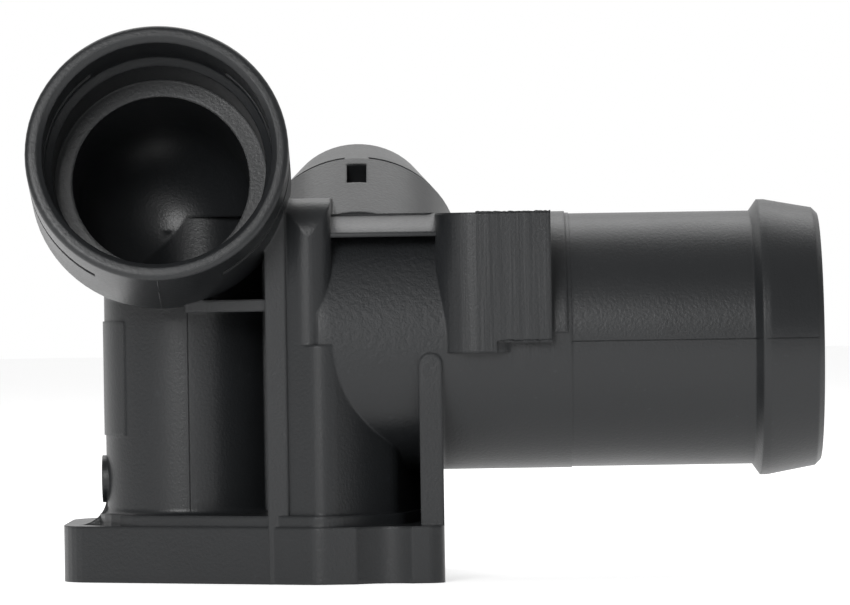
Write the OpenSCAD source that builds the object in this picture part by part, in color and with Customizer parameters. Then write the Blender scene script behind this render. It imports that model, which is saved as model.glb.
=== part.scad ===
// Coolant flange moulded in one piece: a bolted base plate, a hose neck and two sensor ports.
// The origin lies on the sealing face, midway between the two bolts. +Z points away from the
// engine, +X along the hose neck and -Y out of the front port. Sizes and places below are
// taken from a point under the front of the water chamber, called the datum.

/* [Base plate] */
// Thickness of the base plate
plate_t = 7.1; // [5:0.1:12]
// Overall width of the base plate
plate_w = 48.3; // [48:0.1:52]
// Margin of the plate in front of the chamber wall
plate_margin = 1.2; // [0.8:0.1:2]
// Distance of the left lobe's centre beyond the column's axis
left_lobe_offset = 9.9; // [9:0.1:11]
// Radius of the plate's left lobe
left_lobe_r = 6.5; // [5:0.1:8]
// Radius of the plate's right front lobe
right_lobe_r = 2; // [1.5:0.1:4]
// Distance of the right front lobe's centre behind the chamber corner's centre
right_lobe_step = -1.6; // [-2:0.1:0]
// Radius of the lobes that carry the bolts
bolt_lobe_r = 8; // [7:0.1:10]
// Height of the raised foot round the chamber and the column
foot_top = 8.5; // [7.8:0.1:10]
// Margin of the raised foot round their walls
foot_margin = 0.9; // [0.5:0.1:1.1]
// Distance between the two bolts
bolt_spacing = 32; // [30:0.5:34]
// Distance of the bolts behind the datum
bolt_y = 28; // [26:0.5:32]
// Bore of the steel sleeves, for M6 bolts
bolt_hole_d = 6.4; // [6.2:0.1:6.8]
// Wall of the steel sleeve in each bolt hole
sleeve_wall = 1.3; // [1:0.1:1.8]
// Width of the seal groove
groove_w = 2; // [1.5:0.1:2.2]
// Depth of the seal groove
groove_depth = 1.9; // [1:0.1:3]

/* [Water chamber] */
// Radius of the rounded front corner of the chamber
corner_r = 2.8; // [2.7:0.1:4]
// Distance of that corner's centre to the right of the datum
corner_x = 3.4; // [2.5:0.1:4.5]
// Distance of that corner's centre in front of the datum
corner_y = 8.2; // [7.5:0.1:9]
// Height of the chamber's head above the sealing face
chamber_top = 48; // [47:0.1:50]
// Radius of the rounded shoulder at the head
shoulder_r = 5; // [3:0.1:6]
// Outer radius of the left column
column_r = 10.9; // [10:0.1:12]
// Distance of the left column to the left of the datum
column_x = 13.5; // [12.5:0.1:15]
// Wall of the chamber and the column
wall = 2.6; // [2:0.1:2.7]
// Radius of the fillet at the foot of the column
foot_fillet = 0.7; // [0.4:0.1:1]

/* [Hose neck] */
// Outside diameter of the hose neck
neck_d = 32; // [30:0.5:34]
// Wall of the hose neck
neck_wall = 2.9; // [2.4:0.1:3.5]
// Height of the neck's axis above the sealing face
neck_z = 29.7; // [28:0.1:31]
// Distance of the neck's axis behind the datum
neck_y = 5.5; // [5:0.1:6.5]
// Distance of the neck's open end to the right of the datum
neck_end_x = 66; // [58:0.5:80]
// Height of the hose bead above the neck
bead_h = 1.4; // [0.8:0.1:2]
// Step between the neck's root and the seat of the hose
root_step = 0.1; // [0.05:0.05:0.15]
// Length from the start of the bead to the open end
bead_len = 8.6; // [7:0.1:11]
// Height of the shelf rib's top above the sealing face
shelf_top = 46; // [45.8:0.1:46.8]
// Thickness of the shelf rib
shelf_t = 2.5; // [1.5:0.1:3]

/* [Gate block] */
// Left side of the gate block
gate_x = 17.8; // [17.5:0.1:20]
// Width of the gate block
gate_w = 14.3; // [12:0.1:16]
// How far the gate block stands in front of the neck
gate_proud = 1.9; // [1:0.1:3]
// Width of the thin band beside the gate block
band_w = 2; // [1:0.1:3]
// Height of the band above the neck
band_h = 0.3; // [0.1:0.1:0.6]

/* [Ribs] */
// Thickness of the upright rib in front of the chamber
front_rib_w = 2.6; // [2:0.1:3.2]
// Right side of the front rib, to the left of the datum
front_rib_x = 0.9; // [0.5:0.1:1.5]
// Thickness of the gusset under the neck
gusset_w = 2.9; // [2:0.1:3.5]
// Height of the web under the front port
web_z = 34; // [33:0.1:34.5]
// Thickness of that web
web_t = 1.5; // [1.2:0.1:2]

/* [Front port] */
// Outside diameter of the front port
front_port_d = 32.6; // [32:0.1:34]
// Diameter of the front port's mouth
front_mouth_d = 28.4; // [28:0.1:29]
// Diameter of the seal bore above the ledge
front_seal_d = 26.6; // [26:0.1:27]
// Diameter of the passage below the ledge
front_passage_d = 22.2; // [20:0.1:22.4]
// Depth of the ledge below the rim
front_ledge = 14; // [12:0.1:15]
// Tilt of the front port above the horizontal
front_tilt = 15; // [12:0.5:18]
// Width of the clip slots
slot_w = 1.1; // [0.8:0.1:1.6]
// Distance of the clip slots behind the rim
slot_back = 4.8; // [4:0.1:6]

/* [Rear port] */
// Outside diameter of the rear port's rim
rear_rim_d = 18.6; // [18:0.1:20]
// Outside diameter of the rear port's body
rear_body_d = 25.6; // [25:0.1:26.5]
// Length of the tapered nose of the rear port
rear_nose = 10; // [8:0.1:12]
// Diameter of the bore in the rear port
rear_bore_d = 14; // [12:0.1:15]
// Depth of that bore below the rim
rear_bore_depth = 18; // [17:0.1:20]
// Diameter of the water way below it
rear_passage_d = 11; // [9:0.1:11.5]
// Tilt of the rear port above the horizontal
rear_tilt = 30; // [25:0.5:35]
// Distance of the rear port's axis to the right of the datum
rear_x = 7.9; // [7:0.1:9]
// Width of the key window in the rear port
key_w = 2.5; // [2:0.1:3]
// Length of the key window
key_len = 4.8; // [4:0.1:5.5]

/* [Hidden] */
$fn = 96;

housing_colour = "#34373a";
steel_colour = "#b9bcbf";

// How far a cut runs past the face that it opens
through = 1;
// Way for the water between the chamber and the column
link_w = 6;
link_top = 38;
// Gap between a sleeve and the hole that holds it
sleeve_gap = 0.02;
edge_r = 0.7;
// Turn between two points of an outline's round corner
arc_step = 10;

// Directions of the chamber's two front faces, seen from above
left_face_angle = -29.5;
right_face_angle = 40;
left_normal = [sin(left_face_angle), -cos(left_face_angle)];
right_normal = [sin(right_face_angle), -cos(right_face_angle)];

corner = [corner_x, -corner_y];
left_face = left_normal * corner + corner_r;
right_face = right_normal * corner + corner_r;

column = [-column_x, on_left_face(-column_x, column_r, left_face)];
column_bore_r = column_r - wall;

neck_r = neck_d / 2;
neck_bore_r = neck_r - neck_wall;
neck_start_x = 3;
neck_bore_x = 1;
// Start of the hose's seat, just beyond the gate's band
seat_x = gate_x + gate_w + band_w + 0.5;

// Centre and radius of each rounded corner of the chamber, seen from above
chamber_left_r = 6;
chamber_right_r = 3.5;
chamber_back_r = 7;
chamber_left_x = 2.5;
chamber_right_x = 9.4;
chamber_back_x = 9.5;
chamber_back = neck_y + neck_r + 0.7;
chamber_left_back_y = chamber_back - 9.5;
chamber_left = chamber_left_x - chamber_left_r;
chamber_lobes = [
    [[chamber_left_x, on_left_face(chamber_left_x, chamber_left_r, left_face)], chamber_left_r],
    [corner, corner_r],
    [[chamber_right_x, on_right_face(chamber_right_x, chamber_right_r, right_face)], chamber_right_r],
    [[chamber_back_x, chamber_back - chamber_back_r], chamber_back_r],
    [[chamber_left_x, chamber_left_back_y], chamber_left_r]
];
// Rounded corners of the narrower upper half
head_corner_x = 2;
head_corner = [head_corner_x, on_left_face(head_corner_x, corner_r, left_face)];
head_back_y = neck_y + 11.2;
head_back_r = (head_corner_x + corner_r - chamber_left) / 2;
head_lobes = [
    chamber_lobes[0],
    [head_corner, corner_r],
    [[chamber_left + head_back_r, head_back_y], head_back_r]
];
seal_lobes = [
    [column, column_r],
    chamber_lobes[1],
    chamber_lobes[2],
    chamber_lobes[3]
];

left_lobe_x = column[0] - left_lobe_offset;
left_lobe = [left_lobe_x, on_left_face(left_lobe_x, left_lobe_r, left_face + plate_margin)];
plate_left = left_lobe[0] - left_lobe_r;
plate_right = plate_left + plate_w;
right_lobe = [plate_right - right_lobe_r, right_lobe_step - corner_y];
right_bolt = [plate_right - bolt_lobe_r, bolt_y];
left_bolt = [right_bolt[0] - bolt_spacing, bolt_y];
plate_lobes = [
    [left_lobe, left_lobe_r],
    [corner, corner_r + plate_margin],
    [right_lobe, right_lobe_r],
    [right_bolt, bolt_lobe_r],
    [left_bolt, bolt_lobe_r]
];
sleeve_r = bolt_hole_d / 2 + sleeve_wall;

// Centre of the front port's rim, and its radii
front_rim = [-16.4, -17, 54];
front_r = front_port_d / 2;
front_passage_r = front_passage_d / 2;
front_body_r = front_passage_r + wall;
front_depth = 26;

// Centre of the rear port's rim, and its radii
rear_rim = [rear_x, 35.4, 47.2];
rear_body_r = rear_body_d / 2;
rear_body_len = 14;
rear_slot_w = 0.8;

// Y of a circle of radius r at x that touches a plane parallel to a front face
function on_left_face(x, r, face) = (face - r - left_normal[0] * x) / left_normal[1];
function on_right_face(x, r, face) = (face - r - right_normal[0] * x) / right_normal[1];

// Direction of the normal of the tangent that runs round two lobes, from a to b, on its right side
function tangent_normal(a, b) =
    let (d = b[0] - a[0])
    atan2(d[1], d[0]) - acos((a[1] - b[1]) / norm(d));

// Points of the arc round one lobe, from the tangent that comes in to the one that goes out
function lobe_arc(before, lobe, after, inset) =
    let (
        from = tangent_normal(before, lobe),
        sweep = (tangent_normal(lobe, after) - from + 720) % 360,
        steps = ceil(sweep / arc_step)
    )
    [for (k = [0 : steps])
        let (s = from + sweep * k / steps)
        lobe[0] + (lobe[1] - inset) * [cos(s), sin(s)]];

// Outline that runs anticlockwise round a ring of lobes, drawn inset by a margin
module lobed_outline(lobes, inset = 0) {
    n = len(lobes);
    polygon([for (i = [0 : n - 1]) each lobe_arc(lobes[(i + n - 1) % n], lobes[i], lobes[(i + 1) % n], inset)]);
}

// Rectangle from its lowest corner, with its top two corners rounded
module round_topped(w, h, r) {
    square([w, h - r]);
    translate([r, 0])
        square([w - 2 * r, h]);
    for (x = [r, w - r])
        translate([x, h - r])
            circle(r);
}

// Places its children at the front port's rim, with +Z out of the mouth and +Y up
module at_front_port() {
    translate(front_rim)
        rotate([90 - front_tilt, 0, 0])
            children();
}

// Places its children at the rear port's rim, with +Z out of the mouth and -Y up
module at_rear_port() {
    translate(rear_rim)
        rotate([rear_tilt - 90, 0, 0])
            children();
}

// Part of a ring round Z, between two angles
module ring_sector(r_in, r_out, z, h, from, to) {
    rotate_extrude(angle = to - from, start = from)
        translate([r_in, z])
            square([r_out - r_in, h]);
}

// Plate with a shallow scallop in its front edge, left of the gusset
module base_plate() {
    scallop_r = 5;
    scallop_centre = corner + [7.6, -7.4];
    linear_extrude(plate_t)
        difference() {
            lobed_outline(plate_lobes);
            translate(scallop_centre)
                circle(scallop_r);
        }
}

// Chamber up to the neck's axis, with a narrower upper half and head
module chamber_walls() {
    reach = 20;
    linear_extrude(neck_z)
        lobed_outline(chamber_lobes);
    intersection() {
        translate([0, 0, neck_z])
            linear_extrude(chamber_top - neck_z)
                lobed_outline(head_lobes);
        translate([-reach, head_corner[1] - corner_r, 0])
            rotate([90, 0, 90])
                linear_extrude(2 * reach)
                    round_topped(2 * neck_r, chamber_top, shoulder_r);
    }
}

// Raised foot on the plate, round the chamber and the column
module raised_foot() {
    low = plate_t / 2;
    translate([0, 0, low])
        linear_extrude(foot_top - low)
            lobed_outline(seal_lobes, -foot_margin);
}

// Wall round the water's way between the chamber and the column
module link_walls() {
    outer_w = link_w + 2 * wall;
    translate([column[0], column[1] - outer_w / 2, 0])
        cube([column_x, outer_w, link_top + wall]);
}

module left_column() {
    into_port = 12;
    translate(column) {
        cylinder(r = column_r, h = front_rim[2] - into_port);
        foot_fillet_ring();
        label_pad();
        round_boss();
        foot_web();
    }
}

// Concave fillet round the foot of the column
module foot_fillet_ring() {
    translate([0, 0, foot_top])
        rotate_extrude()
            difference() {
                translate([column_r - wall / 2, -wall / 2])
                    square([foot_fillet + wall / 2, foot_fillet + wall / 2]);
                translate([column_r + foot_fillet, foot_fillet])
                    circle(foot_fillet);
            }
}

// Raised pad, left bare, on the column's left side
module label_pad() {
    proud = 0.2;
    low = 18.5;
    height = 14.4;
    ring_sector(column_r - wall / 2, column_r + proud, low, height, 182, 222);
}

// Small round boss low on the column's left side
module round_boss() {
    boss_r = 3;
    boss_z = 12.9;
    proud = 0.5;
    translate([-column_r - proud, 0, boss_z])
        rotate([0, 90, 0])
            cylinder(r = boss_r, h = wall + proud);
}

// Thin web with a hollow edge, from the column's foot to the left lobe
module foot_web() {
    reach = 3.6;
    web = 2;
    translate([-column_r, web / 2, plate_t])
        rotate([90, 0, 0])
            linear_extrude(web)
                difference() {
                    translate([-reach, -wall / 2])
                        square([reach + wall / 2, reach + wall / 2]);
                    translate([-reach, reach])
                        circle(reach);
                }
}

// Upright rib in front of the chamber, up to the side of the front port
module front_rib() {
    setback = 0.4;
    below_top = 0.5;
    rib_front = left_lobe_edge(-front_rib_x - front_rib_w / 2) + setback;
    translate([-front_rib_x - front_rib_w, rib_front, 0])
        cube([front_rib_w, corner_r - rib_front, chamber_top - below_top]);
}

// Y of the plate's left front edge at x
function left_lobe_edge(x) = on_left_face(x, 0, left_face + plate_margin);

// Level web under the front port, between the column and the front rib
module port_web() {
    front = -8;
    depth = 14;
    translate([column[0], front, web_z])
        cube([column_x - front_rib_x, depth, web_t]);
}

module hose_neck() {
    translate([neck_start_x, neck_y, neck_z])
        rotate([0, 90, 0]) {
            cylinder(r = neck_r, h = neck_end_x - bead_len - neck_start_x + 1);
            cylinder(r = neck_r + root_step, h = seat_x - neck_start_x);
            rotate_extrude()
                bead_profile(neck_end_x - neck_start_x);
        }
}

// Half section of the bead and the neck's open end, whose end lies at the given height
module bead_profile(end) {
    start = end - bead_len;
    ramp = 1;
    crest = 0.9;
    tip_r = neck_r + 0.3;
    inner_r = neck_bore_r - 1;
    polygon([
        [inner_r, start],
        [neck_r, start],
        [neck_r + bead_h, start + ramp],
        [neck_r + bead_h, start + ramp + crest],
        [tip_r, end - edge_r],
        [tip_r - edge_r, end],
        [inner_r, end]
    ]);
}

// Level rib on top of the neck, between the chamber and the gate block
module shelf_rib() {
    r = 1.2;
    front = -2;
    depth = 18;
    translate([0, front, shelf_top - shelf_t])
        linear_extrude(shelf_t) {
            square([gate_x - r, depth]);
            translate([0, r])
                square([gate_x, depth - r]);
            translate([gate_x - r, r])
                circle(r);
        }
}

// Block left by the moulding gate on the front of the neck
module gate_block() {
    r = 5.2;
    front = neck_y - neck_r - gate_proud;
    step_x = gate_x + 7.5;
    low = neck_z - 1.2;
    high = neck_z + 0.2;
    top = neck_z + neck_r + 0.2;
    translate([0, 0, low])
        linear_extrude(top - low)
            gate_outline(gate_x, step_x, front, r);
    translate([0, 0, high])
        linear_extrude(top - high)
            gate_outline(gate_x, gate_x + gate_w, front, r);
}

// Plan of the gate block, with a round left front corner
module gate_outline(x0, x1, front, r) {
    translate([x0, front + r])
        square([x1 - x0, neck_y - front - r]);
    translate([x0 + r, front])
        square([x1 - x0 - r, neck_y - front]);
    translate([x0 + r, front + r])
        circle(r);
}

// Thin raised band on the neck beside the gate block
module gate_band() {
    translate([gate_x + gate_w, neck_y, neck_z])
        rotate([90, 0, 90])
            ring_sector(neck_r - 1, neck_r + band_h, 0, band_w, 92, 176);
}

// Gusset between the plate's right side and the lower half of the neck
module neck_gusset() {
    r = gusset_w / 2;
    proud = 0.4;
    below_axis = 1.2;
    back = neck_y + neck_r / 2;
    front = neck_y - neck_r - proud;
    round_z = neck_z - below_axis - r;
    translate([plate_right - gusset_w, back, plate_t])
        rotate([90, 0, 0])
            linear_extrude(back - front) {
                square([gusset_w, round_z - plate_t]);
                translate([r, round_z - plate_t])
                    circle(r);
            }
}

module front_port() {
    cup = front_ledge + 0.3;
    overlap = 1;
    at_front_port() {
        translate([0, 0, -cup])
            cylinder(r = front_r - edge_r, h = cup);
        rotate_extrude()
            translate([front_body_r - overlap, -cup])
                rim_profile(front_r - front_body_r + overlap, cup, edge_r);
        translate([0, 0, -front_depth])
            cylinder(r = front_body_r, h = front_depth - wall);
        translate([0, 0, -front_depth])
            sphere(r = front_body_r);
    }
}

// Section of a wall with a round outer edge at its top
module rim_profile(w, h, edge) {
    square([w, h - edge]);
    square([w - edge, h]);
    translate([w - edge, h - edge])
        circle(edge);
}

module rear_port() {
    at_rear_port() {
        translate([0, 0, -rear_nose - rear_body_len])
            cylinder(r = rear_body_r, h = rear_body_len);
        translate([0, 0, -rear_nose])
            cylinder(r1 = rear_body_r, r2 = rear_rim_d / 2, h = rear_nose);
    }
}

module front_port_bores() {
    lead = slot_back + slot_w + 2;
    slot_turn = 115;
    at_front_port() {
        rotate_extrude()
            polygon([
                [0, through],
                [front_mouth_d / 2 + edge_r, through],
                [front_mouth_d / 2 + edge_r, 0],
                [front_mouth_d / 2, -edge_r],
                [front_mouth_d / 2, -lead + 1],
                [front_seal_d / 2, -lead],
                [front_seal_d / 2, -front_ledge],
                [0, -front_ledge]
            ]);
        translate([0, 0, -front_depth])
            cylinder(r = front_passage_r, h = front_depth);
        translate([0, 0, -front_depth])
            sphere(r = front_passage_r);
        for (from = [-61, 126])
            ring_sector(front_seal_d / 2 - through, front_r + through,
                -slot_back - slot_w, slot_w, from, from + slot_turn);
    }
}

module rear_port_bores() {
    depth = rear_nose + rear_body_len + 2;
    slot_depth = 1.6;
    slot_turn = 68;
    key_back = rear_nose + 1.5 + key_len;
    at_rear_port() {
        translate([0, 0, -rear_bore_depth])
            cylinder(d = rear_bore_d, h = rear_bore_depth + through);
        translate([0, 0, -depth])
            cylinder(d = rear_passage_d, h = depth);
        for (from = [195, 277])
            ring_sector(rear_body_r - slot_depth, rear_body_r + through,
                -rear_nose, rear_slot_w, from, from + slot_turn);
        translate([-key_w / 2, -rear_body_r - through, -key_back])
            cube([key_w, rear_body_r + through - rear_bore_d / 4, key_len]);
    }
}

module water_passages() {
    into_port = 8;
    translate([0, 0, -through])
        linear_extrude(neck_z - wall + through)
            lobed_outline(chamber_lobes, wall);
    translate([0, 0, -through])
        linear_extrude(shelf_top - shelf_t - wall + through)
            lobed_outline(head_lobes, wall);
    translate([column[0], column[1], -through])
        cylinder(r = column_bore_r, h = front_rim[2] - into_port + through);
    translate([column[0], column[1] - link_w / 2, -through])
        cube([column_x + head_corner_x, link_w, link_top + through]);
    translate([neck_bore_x, neck_y, neck_z])
        rotate([0, 90, 0])
            cylinder(r = neck_bore_r, h = neck_end_x - neck_bore_x + through);
}

module bolt_holes() {
    for (p = [left_bolt, right_bolt])
        translate([p[0], p[1], -through])
            cylinder(r = sleeve_r + sleeve_gap, h = plate_t + 2 * through);
}

// Groove for the seal in the sealing face
module seal_groove() {
    land = 0.9;
    outer_land = land - plate_margin;
    translate([0, 0, -through])
        linear_extrude(groove_depth + through)
            difference() {
                lobed_outline(seal_lobes, outer_land);
                lobed_outline(seal_lobes, outer_land + groove_w);
            }
}

// Moves its children from the datum to the origin between the bolts
module from_datum() {
    translate([bolt_spacing / 2 - right_bolt[0], -bolt_y, 0])
        children();
}

module flange_housing() {
    color(housing_colour)
        from_datum()
        difference() {
            union() {
                base_plate();
                chamber_walls();
                raised_foot();
                link_walls();
                left_column();
                front_rib();
                port_web();
                hose_neck();
                shelf_rib();
                gate_block();
                gate_band();
                neck_gusset();
                front_port();
                rear_port();
            }
            front_port_bores();
            rear_port_bores();
            water_passages();
            bolt_holes();
            seal_groove();
        }
}

module bolt_sleeves() {
    color(steel_colour)
        from_datum()
        for (p = [left_bolt, right_bolt])
            translate(p)
                difference() {
                    cylinder(r = sleeve_r, h = plate_t);
                    translate([0, 0, -through])
                        cylinder(d = bolt_hole_d, h = plate_t + 2 * through);
                }
}

flange_housing();
bolt_sleeves();
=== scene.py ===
"""Coolant flange: finishes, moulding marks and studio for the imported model."""

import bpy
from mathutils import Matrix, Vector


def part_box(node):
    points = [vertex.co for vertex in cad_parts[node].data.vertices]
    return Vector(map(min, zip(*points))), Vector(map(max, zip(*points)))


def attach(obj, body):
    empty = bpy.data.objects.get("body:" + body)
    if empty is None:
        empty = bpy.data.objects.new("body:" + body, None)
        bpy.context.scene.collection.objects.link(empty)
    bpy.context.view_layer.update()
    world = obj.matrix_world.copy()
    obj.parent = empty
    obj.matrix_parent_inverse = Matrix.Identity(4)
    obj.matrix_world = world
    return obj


bl_info = {
    "name": "Coolant Flange",
    "version": (1, 0, 0),
    "blender": (4, 5, 0),
    "location": "3D View > Sidebar > Flange",
    "description": "Gives a moulded coolant flange its finishes, moulding marks and a studio",
    "category": "Object",
}

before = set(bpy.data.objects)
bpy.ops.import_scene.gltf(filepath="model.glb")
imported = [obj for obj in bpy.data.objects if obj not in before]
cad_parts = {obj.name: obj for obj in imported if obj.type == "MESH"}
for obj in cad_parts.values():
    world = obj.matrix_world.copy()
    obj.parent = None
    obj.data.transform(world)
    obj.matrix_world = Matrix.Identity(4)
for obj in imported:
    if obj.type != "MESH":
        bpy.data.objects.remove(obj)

import math

import bmesh
import bpy
from bpy.props import FloatProperty, FloatVectorProperty, IntProperty, PointerProperty
from mathutils import Matrix, Vector

HOUSING = "flange_housing"
SLEEVES = "bolt_sleeves"
BODY = "root"
MM = 0.001

# Places on the housing, in millimetres from the middle between the bolts
NECK_Y = -22.5
NECK_Z = 29.7
NECK_R = 16.0
NECK_END = 71.6
BEAD_START = 63.0
COLUMN = (-7.9, -17.33)
COLUMN_R = 10.9
FRONT_RIM = (-10.8, -45.0, 54.0)
FRONT_TILT = 15.0
REAR_RIM = (13.5, 7.4, 47.2)
REAR_TILT = 30.0
GATE_X = 23.4
GATE_W = 14.3
SEAT_X = 40.2
HEAD_RIGHT = 10.4
SHELF_FRONT = -30.0
SHELF_TOP = 46.0
GATE_FRONT = -40.4

# Ridges, in metres and as a share
LINE_UNEVENNESS = 0.25
LINE_SPACING = 0.0008
BURR_SPACING = 0.0003

# The studio's floor and backdrop, in metres, and how bright the camera sees them
STUDIO_SIDE = 3
STUDIO_NEAR = -2.5
STUDIO_FAR = 2
STUDIO_TOP = 3
FLOOR_GLOW = 0.72
BACKDROP_GLOW = 1.0

# The photograph's camera
PHOTO_WIDTH = 850.0
FOCAL_PIXELS = 7080.0
CAMERA_TARGET = (22.0, -22.5, 34.7)
CAMERA_DISTANCE = 895.0
CAMERA_PITCH = 0.4
CAMERA_ROLL = 0.9


class FlangeFinish(bpy.types.PropertyGroup):
    """Colours and textures of the moulded housing and its sleeves"""

    nylon: FloatVectorProperty(
        name="Nylon",
        description="Colour of the glass-filled nylon",
        subtype="COLOR",
        size=3,
        min=0.0,
        max=1.0,
        default=(0.0170, 0.0184, 0.0200),
    )
    nylon_roughness: FloatProperty(
        name="Nylon roughness",
        description="Roughness of the moulded skin",
        subtype="FACTOR",
        min=0.0,
        max=1.0,
        default=0.37,
    )
    edge_radius: FloatProperty(
        name="Edge rounding",
        description="Radius that the moulding's edges seem to have",
        subtype="DISTANCE",
        unit="LENGTH",
        min=0.0,
        max=0.002,
        default=0.0005,
    )
    skin_depth: FloatProperty(
        name="Skin grain",
        description="Depth of the grain on the moulded skin",
        subtype="DISTANCE",
        unit="LENGTH",
        min=0.0,
        max=0.0005,
        default=0.00003,
    )
    erosion_depth: FloatProperty(
        name="Eroded grain",
        description="Depth of the coarse grain where the tool was spark eroded",
        subtype="DISTANCE",
        unit="LENGTH",
        min=0.0,
        max=0.0005,
        default=0.00013,
    )
    zinc: FloatVectorProperty(
        name="Zinc",
        description="Colour of the zinc-plated sleeves",
        subtype="COLOR",
        size=3,
        min=0.0,
        max=1.0,
        default=(0.52, 0.53, 0.55),
    )


class FlangeMarks(bpy.types.PropertyGroup):
    """Sizes of the marks that the mould left"""

    line_radius: FloatProperty(
        name="Mould line",
        description="Radius of the ridge along the mould's parting lines",
        subtype="DISTANCE",
        unit="LENGTH",
        min=0.00002,
        max=0.0005,
        default=0.00009,
    )
    burr_radius: FloatProperty(
        name="Burr",
        description="Radius of the torn edge where the gate was cut off",
        subtype="DISTANCE",
        unit="LENGTH",
        min=0.00005,
        max=0.0006,
        default=0.00022,
    )
    burr_unevenness: FloatProperty(
        name="Burr unevenness",
        description="Share of the burr's radius that varies along it",
        subtype="FACTOR",
        min=0.0,
        max=1.0,
        default=0.75,
    )
    seed: IntProperty(name="Seed", description="Seed of the burr's unevenness", min=0, default=4)


class FlangeStage(bpy.types.PropertyGroup):
    """Floor, lamps and surroundings of the studio"""

    floor_colour: FloatVectorProperty(
        name="Floor",
        description="Colour of the floor and the backdrop",
        subtype="COLOR",
        size=3,
        min=0.0,
        max=1.0,
        default=(0.82, 0.82, 0.82),
    )
    room_light: FloatProperty(
        name="Room light",
        description="Strength of the light from all around",
        min=0.0,
        max=3.0,
        default=0.30,
    )
    top_lamp: FloatProperty(
        name="Top lamp",
        description="Power of the soft lamp overhead",
        subtype="POWER",
        min=0.0,
        max=200.0,
        default=2.6,
    )
    front_lamp: FloatProperty(
        name="Front lamp",
        description="Power of the soft lamp beside the camera",
        subtype="POWER",
        min=0.0,
        max=200.0,
        default=2.9,
    )


class Value:
    """A shader socket that takes part in Python expressions"""

    def __init__(self, shader, socket):
        self.shader = shader
        self.socket = socket

    def math(self, operation, *others, clamp=False):
        links = [self, *others]
        return self.shader.node(
            "ShaderNodeMath", {"operation": operation, "use_clamp": clamp}, dict(enumerate(links))
        )

    def __add__(self, other):
        return self.math("ADD", other)

    def __radd__(self, other):
        return self.math("ADD", other)

    def __sub__(self, other):
        return self.math("SUBTRACT", other)

    def __rsub__(self, other):
        return Value.math(self.shader.number(other), "SUBTRACT", self)

    def __mul__(self, other):
        return self.math("MULTIPLY", other)

    def __rmul__(self, other):
        return self.math("MULTIPLY", other)

    def above(self, level, soft):
        """1 above the level and 0 below it, with a soft step between"""
        return ((self - (level - soft / 2)) * (1 / soft)).clamped()

    def below(self, level, soft):
        return 1 - self.above(level, soft)

    def clamped(self):
        return self.math("ADD", 0.0, clamp=True)


class Shader:
    """Builds one material's nodes"""

    def __init__(self, name):
        self.material = bpy.data.materials.new(name)
        self.material.use_nodes = True
        self.tree = self.material.node_tree
        self.tree.nodes.clear()

    def number(self, amount):
        holder = self.tree.nodes.new("ShaderNodeValue")
        holder.outputs[0].default_value = amount
        return Value(self, holder.outputs[0])

    def node(self, kind, settings=None, inputs=None, output=0):
        made = self.tree.nodes.new(kind)
        for key, setting in (settings or {}).items():
            setattr(made, key, setting)
        for key, given in (inputs or {}).items():
            if isinstance(given, Value):
                self.tree.links.new(given.socket, made.inputs[key])
            else:
                made.inputs[key].default_value = given
        return Value(self, made.outputs[output])

    def place(self):
        """Object coordinates as a vector and as its three parts"""
        coordinates = self.node("ShaderNodeTexCoord", output="Object")
        split = self.node("ShaderNodeSeparateXYZ", None, {0: coordinates}).socket.node
        return coordinates, [Value(self, part) for part in split.outputs]

    def noise(self, coordinates, scale, stretch=(1, 1, 1), detail=3.0, rough=0.5):
        placed = self.node("ShaderNodeMapping", None, {"Vector": coordinates, "Scale": stretch})
        return self.node(
            "ShaderNodeTexNoise",
            None,
            {"Vector": placed, "Scale": scale, "Detail": detail, "Roughness": rough},
        )

    def blend(self, factor, first, second):
        """Mix of two colours"""
        return self.node(
            "ShaderNodeMix",
            {"data_type": "RGBA"},
            {0: factor, 6: first, 7: second},
            output=2,
        )

    def surface(self, shader):
        output = self.tree.nodes.new("ShaderNodeOutputMaterial")
        self.tree.links.new(shader.socket, output.inputs["Surface"])
        return self.material


def tint(colour, factor=1.0):
    return tuple(min(1.0, part * factor) for part in colour) + (1.0,)


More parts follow.
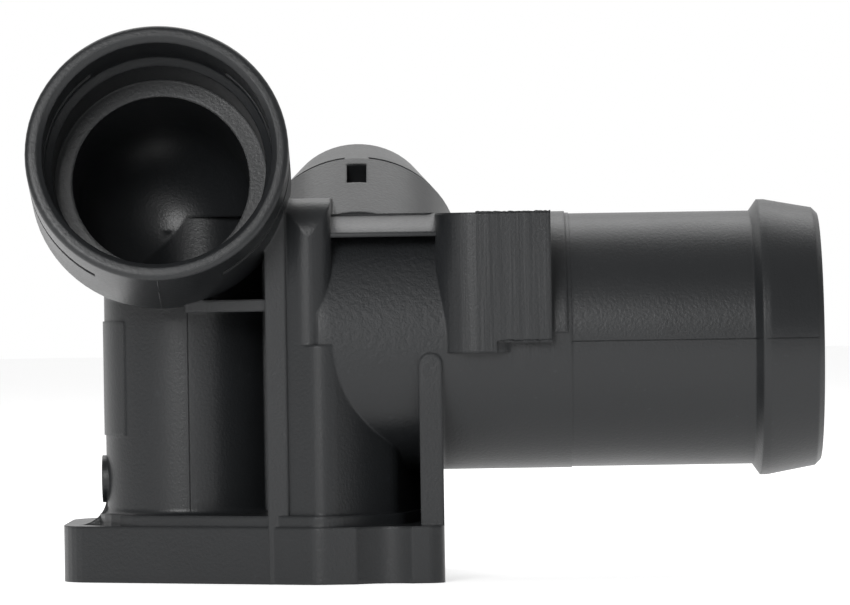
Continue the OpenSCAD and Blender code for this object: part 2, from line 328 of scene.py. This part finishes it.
def moulded_nylon(finish):
    """Satin black glass-filled nylon, with eroded areas, cutter marks and pale worn edges"""
    shader = Shader("nylon_finish")
    coordinates, (x, y, z) = shader.place()

    rounded = shader.node("ShaderNodeBevel", {"samples": 4}, {"Radius": finish.edge_radius})
    flat = shader.node("ShaderNodeNewGeometry", output="True Normal")
    facing = shader.node(
        "ShaderNodeVectorMath", {"operation": "DOT_PRODUCT"}, {0: rounded, 1: flat}, output="Value"
    )
    edge = ((1 - facing) * 6.0).clamped()

    flow = shader.noise(coordinates, 90.0, (1, 1, 0.35), 4.0, 0.55)
    skin = shader.noise(coordinates, 2600.0, (1, 1, 1), 2.0, 0.6)
    coarse = shader.noise(coordinates, 1500.0, (1, 1, 1), 3.0, 0.7)
    specks = shader.noise(coordinates, 900.0, (1, 1, 1), 2.0, 0.5)
    dust = (specks - 0.68).math("MULTIPLY", 9.0).clamped()

    # Spark-eroded skin beside the chamber, under the shelf rib
    eroded = (
        x.above(9.6 * MM, 1.5 * MM) * x.below(24.2 * MM, 1.2 * MM)
        * z.above(26 * MM, 8 * MM) * z.below(43.6 * MM, 1.5 * MM)
        * y.above(-40 * MM, 0.5 * MM)
    )
    # Upright cutter marks on the gate block's front
    cut = (
        x.above((GATE_X + 1) * MM, 1.5 * MM) * x.below((GATE_X + GATE_W + 0.2) * MM, 0.3 * MM)
        * y.below((GATE_FRONT + 2.5) * MM, 1.0 * MM) * z.above(26 * MM, 1 * MM)
    )
    strokes = shader.noise(coordinates, 620.0, (1, 1, 0.03), 3.0, 0.6)

    grey = finish.nylon
    colour = shader.blend(flow.above(0.5, 0.6), tint(grey, 0.9), tint(grey, 1.12))
    colour = shader.blend(eroded * 0.6, colour, tint(grey, 1.25))
    colour = shader.blend(dust * 0.35, colour, tint(grey, 2.6))
    colour = shader.blend(edge * 0.30, colour, tint(grey, 1.9))

    roughness = (
        finish.nylon_roughness
        + (flow - 0.5) * 0.16
        + (skin - 0.5) * 0.10
        + eroded * 0.16
        + cut * ((strokes - 0.5) * 0.3)
        + edge * 0.05
    ).clamped()

    height = (
        (skin - 0.5) * finish.skin_depth
        + eroded * ((coarse - 0.5) * finish.erosion_depth)
        + cut * ((strokes - 0.5) * 0.00012)
    )
    bump = shader.node(
        "ShaderNodeBump",
        None,
        {"Strength": 1.0, "Distance": 1.0, "Height": height, "Normal": rounded},
    )
    return shader.surface(shader.node(
        "ShaderNodeBsdfPrincipled",
        None,
        {"Base Color": colour, "Roughness": roughness, "Normal": bump},
    ))


def zinc_steel(finish):
    """Zinc-plated steel, turned, with fine rings and dull patches"""
    shader = Shader("zinc_finish")
    coordinates, (x, y, z) = shader.place()
    patches = shader.noise(coordinates, 260.0, (1, 1, 1), 4.0, 0.6)
    rings = shader.noise(coordinates, 500.0, (0.05, 0.05, 8.0), 2.0, 0.6)
    colour = shader.blend(patches.above(0.5, 0.5), tint(finish.zinc, 0.85), tint(finish.zinc, 1.1))
    roughness = (0.30 + (patches - 0.5) * 0.3 + (rings - 0.5) * 0.12).clamped()
    rounded = shader.node("ShaderNodeBevel", {"samples": 4}, {"Radius": 0.0002})
    bump = shader.node(
        "ShaderNodeBump",
        None,
        {"Strength": 1.0, "Distance": 1.0, "Height": (rings - 0.5) * 0.00002, "Normal": rounded},
    )
    return shader.surface(shader.node(
        "ShaderNodeBsdfPrincipled",
        None,
        {"Base Color": colour, "Roughness": roughness, "Metallic": 1.0, "Normal": bump},
    ))


def studio_white(name, stage, brightness, shadowed):
    """Pale matte surface that the camera sees as white, with the object's shadow on it"""
    shader = Shader(name)
    colour = tint(stage.floor_colour)
    coordinates = shader.node("ShaderNodeTexCoord", output="Object")
    mottle = shader.noise(coordinates, 3.0, (1, 1, 1), 2.0, 0.5)
    paper = shader.blend(mottle * 0.1, colour, tint(stage.floor_colour, 0.97))
    matte = shader.node("ShaderNodeBsdfDiffuse", None, {"Color": paper})
    glow = shader.node("ShaderNodeEmission", None, {"Color": (1, 1, 1, 1), "Strength": brightness})
    lit = shader.node("ShaderNodeAddShader", None, {0: matte, 1: glow}) if shadowed else glow
    path = shader.tree.nodes.new("ShaderNodeLightPath")
    seen = (
        Value(shader, path.outputs["Is Camera Ray"])
        + Value(shader, path.outputs["Is Glossy Ray"])
        + Value(shader, path.outputs["Is Transmission Ray"])
    ).clamped()
    return shader.surface(shader.node("ShaderNodeMixShader", None, {0: seen, 1: matte, 2: lit}))


def finish_of(context):
    return context.scene.flange_finish


def set_material(piece, material):
    """Leaves the piece with this material only"""
    piece.data.materials.clear()
    piece.data.materials.append(material)


def nylon(context):
    """The nylon finish, made once and shared"""
    return bpy.data.materials.get("nylon_finish") or moulded_nylon(finish_of(context))


def port_matrix(rim, turn):
    return Matrix.Translation(Vector(rim)) @ Matrix.Rotation(math.radians(turn), 4, "X")


def front_port_point(angle, radius, height):
    """Point beside the front port's axis, at a clock angle, a radius and a height over its rim"""
    a = math.radians(angle)
    local = Vector((radius * math.cos(a), radius * math.sin(a), height))
    return port_matrix(FRONT_RIM, 90.0 - FRONT_TILT) @ local


def rear_port_point(angle, radius, height):
    """Point beside the rear port's axis, given in the same way"""
    a = math.radians(angle)
    local = Vector((radius * math.cos(a), radius * math.sin(a), height))
    return port_matrix(REAR_RIM, REAR_TILT - 90.0) @ local


def neck_point(along, angle, radius):
    """Point on the hose neck: 0 degrees faces the front and 90 faces up"""
    a = math.radians(angle)
    return Vector((along, NECK_Y - radius * math.cos(a), NECK_Z + radius * math.sin(a)))


def mould_lines():
    """Routes of the parting lines, in millimetres"""
    ring_x = 31.2
    neck = [
        (SEAT_X, NECK_R), (BEAD_START, NECK_R), (BEAD_START + 1.0, NECK_R + 1.4),
        (BEAD_START + 1.9, NECK_R + 1.4), (NECK_END - 0.7, NECK_R + 0.3),
    ]
    front = [neck_point(x, 0, r) for x, r in neck]
    back = [neck_point(x, 180, r) for x, r in [(ring_x, NECK_R)] + neck]
    ring = [neck_point(ring_x, -2 - 6 * k, NECK_R) for k in range(30)]
    column_front = [Vector((COLUMN[0], COLUMN[1] - COLUMN_R, z)) for z in (8.7, 20.0, 33.9)]
    column_back = [Vector((COLUMN[0], COLUMN[1] + COLUMN_R, z)) for z in (8.7, 20.0, 36.0)]
    under_port = [front_port_point(-90, 16.3, h) for h in (-0.8, -4.6)]
    under_port_low = [front_port_point(-90, 16.3, h) for h in (-6.1, -14.1)]
    rear = [
        [rear_port_point(turn, r, h) for r, h in ((12.8, -19.0), (12.8, -10.0), (9.4, -0.3))]
        for turn in (0, 180)
    ]
    return [front, back, ring, column_front, column_back, under_port, under_port_low, *rear]


def burr_lines():
    """Routes of the torn edges round the gate block, in millimetres"""
    top = NECK_Z + NECK_R + 0.2
    return [
        [Vector((GATE_X + 5.0, GATE_FRONT, top)), Vector((GATE_X + 8.0, GATE_FRONT, top)),
         Vector((GATE_X + GATE_W, GATE_FRONT, top))],
        [Vector((GATE_X + 7.8, GATE_FRONT, NECK_Z + 0.2)),
         Vector((GATE_X + 11.0, GATE_FRONT, NECK_Z + 0.15)),
         Vector((GATE_X + GATE_W, GATE_FRONT, NECK_Z + 0.2))],
    ]


def curve_of(name, routes):
    """Curve object with one straight-sided spline for each route"""
    curve = bpy.data.curves.new(name, "CURVE")
    curve.dimensions = "3D"
    for route in routes:
        spline = curve.splines.new("POLY")
        spline.points.add(len(route) - 1)
        for point, place in zip(spline.points, route):
            point.co = (*(place * MM), 1.0)
    piece = bpy.data.objects.new(name, curve)
    bpy.context.scene.collection.objects.link(piece)
    return piece


def ridge_tree(name, material):
    """Geometry nodes that run an uneven ridge along a curve"""
    tree = bpy.data.node_groups.new(name, "GeometryNodeTree")
    sockets = tree.interface
    sockets.new_socket("Geometry", in_out="INPUT", socket_type="NodeSocketGeometry")
    for label, kind in (
        ("Radius", "NodeSocketFloat"), ("Unevenness", "NodeSocketFloat"),
        ("Spacing", "NodeSocketFloat"), ("Seed", "NodeSocketInt"),
    ):
        sockets.new_socket(label, in_out="INPUT", socket_type=kind)
    sockets.new_socket("Geometry", in_out="OUTPUT", socket_type="NodeSocketGeometry")

    def add(kind, **settings):
        made = tree.nodes.new(kind)
        for key, setting in settings.items():
            setattr(made, key, setting)
        return made

    link = tree.links.new
    given = add("NodeGroupInput")
    result = add("NodeGroupOutput")
    points = add("GeometryNodeResampleCurve", mode="LENGTH")
    link(given.outputs["Geometry"], points.inputs["Curve"])
    link(given.outputs["Spacing"], points.inputs["Length"])

    uneven = add("FunctionNodeRandomValue", data_type="FLOAT")
    low = add("ShaderNodeMath", operation="SUBTRACT")
    low.inputs[0].default_value = 1.0
    link(given.outputs["Unevenness"], low.inputs[1])
    link(low.outputs[0], uneven.inputs[2])
    uneven.inputs[3].default_value = 1.0
    link(given.outputs["Seed"], uneven.inputs["Seed"])

    profile = add("GeometryNodeCurvePrimitiveCircle", mode="RADIUS")
    profile.inputs["Resolution"].default_value = 6
    link(given.outputs["Radius"], profile.inputs["Radius"])
    sweep = add("GeometryNodeCurveToMesh")
    sweep.inputs["Fill Caps"].default_value = True
    link(points.outputs["Curve"], sweep.inputs["Curve"])
    link(profile.outputs["Curve"], sweep.inputs["Profile Curve"])
    link(uneven.outputs[1], sweep.inputs["Scale"])

    smooth = add("GeometryNodeSetShadeSmooth")
    link(sweep.outputs["Mesh"], smooth.inputs["Geometry"])
    whole = add("GeometryNodeRealizeInstances")
    link(smooth.outputs["Geometry"], whole.inputs["Geometry"])
    dressed = add("GeometryNodeSetMaterial")
    dressed.inputs["Material"].default_value = material
    link(whole.outputs["Geometry"], dressed.inputs["Geometry"])
    link(dressed.outputs["Geometry"], result.inputs["Geometry"])
    return tree


def ridge(name, routes, material, radius, unevenness, spacing, seed):
    """Runs a ridge along the routes and returns it as a plain mesh"""
    curve = curve_of(name + "_route", routes)
    modifier = curve.modifiers.new("ridge", "NODES")
    modifier.node_group = ridge_tree(name, material)
    amounts = {"Radius": radius, "Unevenness": unevenness, "Spacing": spacing, "Seed": seed}
    for item in modifier.node_group.interface.items_tree:
        if item.in_out == "INPUT" and item.name in amounts:
            modifier[item.identifier] = amounts[item.name]
    graph = bpy.context.evaluated_depsgraph_get()
    mesh = bpy.data.meshes.new_from_object(curve.evaluated_get(graph))
    bpy.data.objects.remove(curve)
    piece = bpy.data.objects.new(name, mesh)
    bpy.context.scene.collection.objects.link(piece)
    if not mesh.polygons:
        raise RuntimeError(name + " came out empty")
    if not mesh.materials:
        mesh.materials.append(material)
    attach(piece, BODY)
    return piece


def prism(name, outline, start, end, material, bevel):
    """Solid with the given outline in Y and Z, from one X to another, all in millimetres"""
    count = len(outline)
    corners = [Vector((x, y, z)) * MM for x in (start, end) for y, z in outline]
    sides = [(k, (k + 1) % count, (k + 1) % count + count, k + count) for k in range(count)]
    mesh = bpy.data.meshes.new(name)
    ends = [tuple(range(count))[::-1], tuple(range(count, 2 * count))]
    mesh.from_pydata(corners, [], [*ends, *sides])
    shape = bmesh.new()
    shape.from_mesh(mesh)
    bmesh.ops.recalc_face_normals(shape, faces=shape.faces)
    bmesh.ops.bevel(
        shape, geom=list(shape.edges), offset=bevel, segments=3, profile=0.5, affect="EDGES"
    )
    for face in shape.faces:
        face.smooth = True
    shape.to_mesh(mesh)
    shape.free()
    piece = bpy.data.objects.new(name, mesh)
    bpy.context.scene.collection.objects.link(piece)
    set_material(piece, material)
    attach(piece, BODY)
    return piece


def soft_lamp(name, place, aim, width, height, power):
    """Square-edged area lamp that points at the aim"""
    lamp = bpy.data.lights.new(name, "AREA")
    lamp.shape = "RECTANGLE"
    lamp.size = width
    lamp.size_y = height
    lamp.energy = power
    holder = bpy.data.objects.new(name, lamp)
    holder.location = place
    holder.rotation_euler = (Vector(aim) - Vector(place)).to_track_quat("-Z", "Y").to_euler()
    bpy.context.scene.collection.objects.link(holder)
    return holder


def sheet(name, corners, material):
    """One flat face of the studio"""
    mesh = bpy.data.meshes.new(name)
    mesh.from_pydata(corners, [], [tuple(range(len(corners)))])
    piece = bpy.data.objects.new(name, mesh)
    bpy.context.scene.collection.objects.link(piece)
    set_material(piece, material)
    return piece


class FLANGE_OT_housing(bpy.types.Operator):
    """Give the moulded housing its nylon finish"""

    bl_idname = "flange.housing"
    bl_label = "Finish the housing"

    def execute(self, context):
        set_material(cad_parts[HOUSING], nylon(context))
        return {"FINISHED"}


class FLANGE_OT_sleeves(bpy.types.Operator):
    """Give the bolt sleeves their zinc finish"""

    bl_idname = "flange.sleeves"
    bl_label = "Finish the sleeves"

    def execute(self, context):
        set_material(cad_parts[SLEEVES], zinc_steel(finish_of(context)))
        return {"FINISHED"}


class FLANGE_OT_mould_lines(bpy.types.Operator):
    """Run the thin ridges that the mould's parting lines left"""

    bl_idname = "flange.mould_lines"
    bl_label = "Add the mould lines"

    def execute(self, context):
        marks = context.scene.flange_marks
        ridge("mould_lines", mould_lines(), nylon(context), marks.line_radius,
              LINE_UNEVENNESS, LINE_SPACING, marks.seed)
        return {"FINISHED"}


class FLANGE_OT_gate_burr(bpy.types.Operator):
    """Add the torn edges round the cut gate block"""

    bl_idname = "flange.gate_burr"
    bl_label = "Add the gate burr"

    def execute(self, context):
        marks = context.scene.flange_marks
        ridge("gate_burr", burr_lines(), nylon(context), marks.burr_radius,
              marks.burr_unevenness, BURR_SPACING, marks.seed + 1)
        return {"FINISHED"}


class FLANGE_OT_shelf_slope(bpy.types.Operator):
    """Slope the front of the shelf rib between the head and the gate block"""

    bl_idname = "flange.shelf_slope"
    bl_label = "Slope the shelf"

    def execute(self, context):
        outline = [(SHELF_FRONT - 6.0, SHELF_TOP - 2.95), (SHELF_FRONT + 0.4, SHELF_TOP - 2.95),
                   (SHELF_FRONT + 0.4, SHELF_TOP - 0.03), (SHELF_FRONT - 6.0, SHELF_TOP - 2.4)]
        prism("shelf_slope", outline, HEAD_RIGHT - 0.4, GATE_X + 0.6, nylon(context), 0.00015)
        return {"FINISHED"}


class FLANGE_OT_stage(bpy.types.Operator):
    """Build the floor, the backdrop, the lamps and the camera"""

    bl_idname = "flange.stage"
    bl_label = "Build the studio"

    def execute(self, context):
        stage = context.scene.flange_stage
        paper = studio_white("floor_white", stage, FLOOR_GLOW, True)
        wall = studio_white("backdrop_white", stage, BACKDROP_GLOW, False)
        floor_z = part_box(HOUSING)[0].z
        side, near, far, top = STUDIO_SIDE, STUDIO_NEAR, STUDIO_FAR, STUDIO_TOP
        back_left, back_right = (-side, far, floor_z), (side, far, floor_z)
        sheet("floor", [(-side, near, floor_z), (side, near, floor_z), back_right, back_left], paper)
        sheet("backdrop", [back_left, back_right, (side, far, top), (-side, far, top)], wall)

        world = bpy.data.worlds.new("room")
        world.use_nodes = True
        world.node_tree.nodes["Background"].inputs["Color"].default_value = (1, 1, 1, 1)
        world.node_tree.nodes["Background"].inputs["Strength"].default_value = stage.room_light
        context.scene.world = world

        middle = (0.02, -0.02, 0.03)
        soft_lamp("top_lamp", (0.02, 0.42, 0.72), middle, 0.9, 0.5, stage.top_lamp)
        soft_lamp("front_lamp", (-0.212, -0.735, 0.304), middle, 0.30, 0.28, stage.front_lamp)

        pitch = math.radians(CAMERA_PITCH)
        roll = math.radians(CAMERA_ROLL)
        forward = Vector((0, math.cos(pitch), -math.sin(pitch)))
        level = Vector((1, 0, 0))
        upright = level.cross(forward)
        right = math.cos(roll) * level - math.sin(roll) * upright
        up = math.sin(roll) * level + math.cos(roll) * upright
        turn = Matrix((right, up, -forward)).transposed()
        data = bpy.data.cameras.new("camera")
        data.sensor_width = 36.0
        data.lens = FOCAL_PIXELS / PHOTO_WIDTH * data.sensor_width
        data.clip_start = 0.05
        data.clip_end = 20.0
        camera = bpy.data.objects.new("camera", data)
        place = (Vector(CAMERA_TARGET) - CAMERA_DISTANCE * forward) * MM
        camera.matrix_world = Matrix.Translation(place) @ turn.to_4x4()
        context.scene.collection.objects.link(camera)
        context.scene.camera = camera
        context.scene.view_settings.view_transform = "Standard"
        return {"FINISHED"}


class FLANGE_PT_sidebar(bpy.types.Panel):
    """Lists the flange's operators and values"""

    bl_idname = "FLANGE_PT_sidebar"
    bl_label = "Coolant flange"
    bl_space_type = "VIEW_3D"
    bl_region_type = "UI"
    bl_category = "Flange"

    def draw(self, context):
        layout = self.layout
        for kind in OPERATORS:
            layout.operator(kind.bl_idname)
        scene = context.scene
        for group in (scene.flange_finish, scene.flange_marks, scene.flange_stage):
            box = layout.box()
            for key in group.__class__.__annotations__:
                box.prop(group, key)


OPERATORS = (
    FLANGE_OT_stage,
    FLANGE_OT_housing,
    FLANGE_OT_sleeves,
    FLANGE_OT_mould_lines,
    FLANGE_OT_gate_burr,
    FLANGE_OT_shelf_slope,
)
CLASSES = (FlangeFinish, FlangeMarks, FlangeStage, *OPERATORS, FLANGE_PT_sidebar)


def register():
    for kind in CLASSES:
        bpy.utils.register_class(kind)
    bpy.types.Scene.flange_finish = PointerProperty(type=FlangeFinish)
    bpy.types.Scene.flange_marks = PointerProperty(type=FlangeMarks)
    bpy.types.Scene.flange_stage = PointerProperty(type=FlangeStage)


def unregister():
    del bpy.types.Scene.flange_stage
    del bpy.types.Scene.flange_marks
    del bpy.types.Scene.flange_finish
    for kind in reversed(CLASSES):
        bpy.utils.unregister_class(kind)


def main():
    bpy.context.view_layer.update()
    register()
    bpy.ops.flange.stage()
    bpy.ops.flange.housing()
    bpy.ops.flange.sleeves()
    bpy.ops.flange.mould_lines()
    bpy.ops.flange.gate_burr()
    bpy.ops.flange.shelf_slope()


if __name__ == "__main__":
    main()
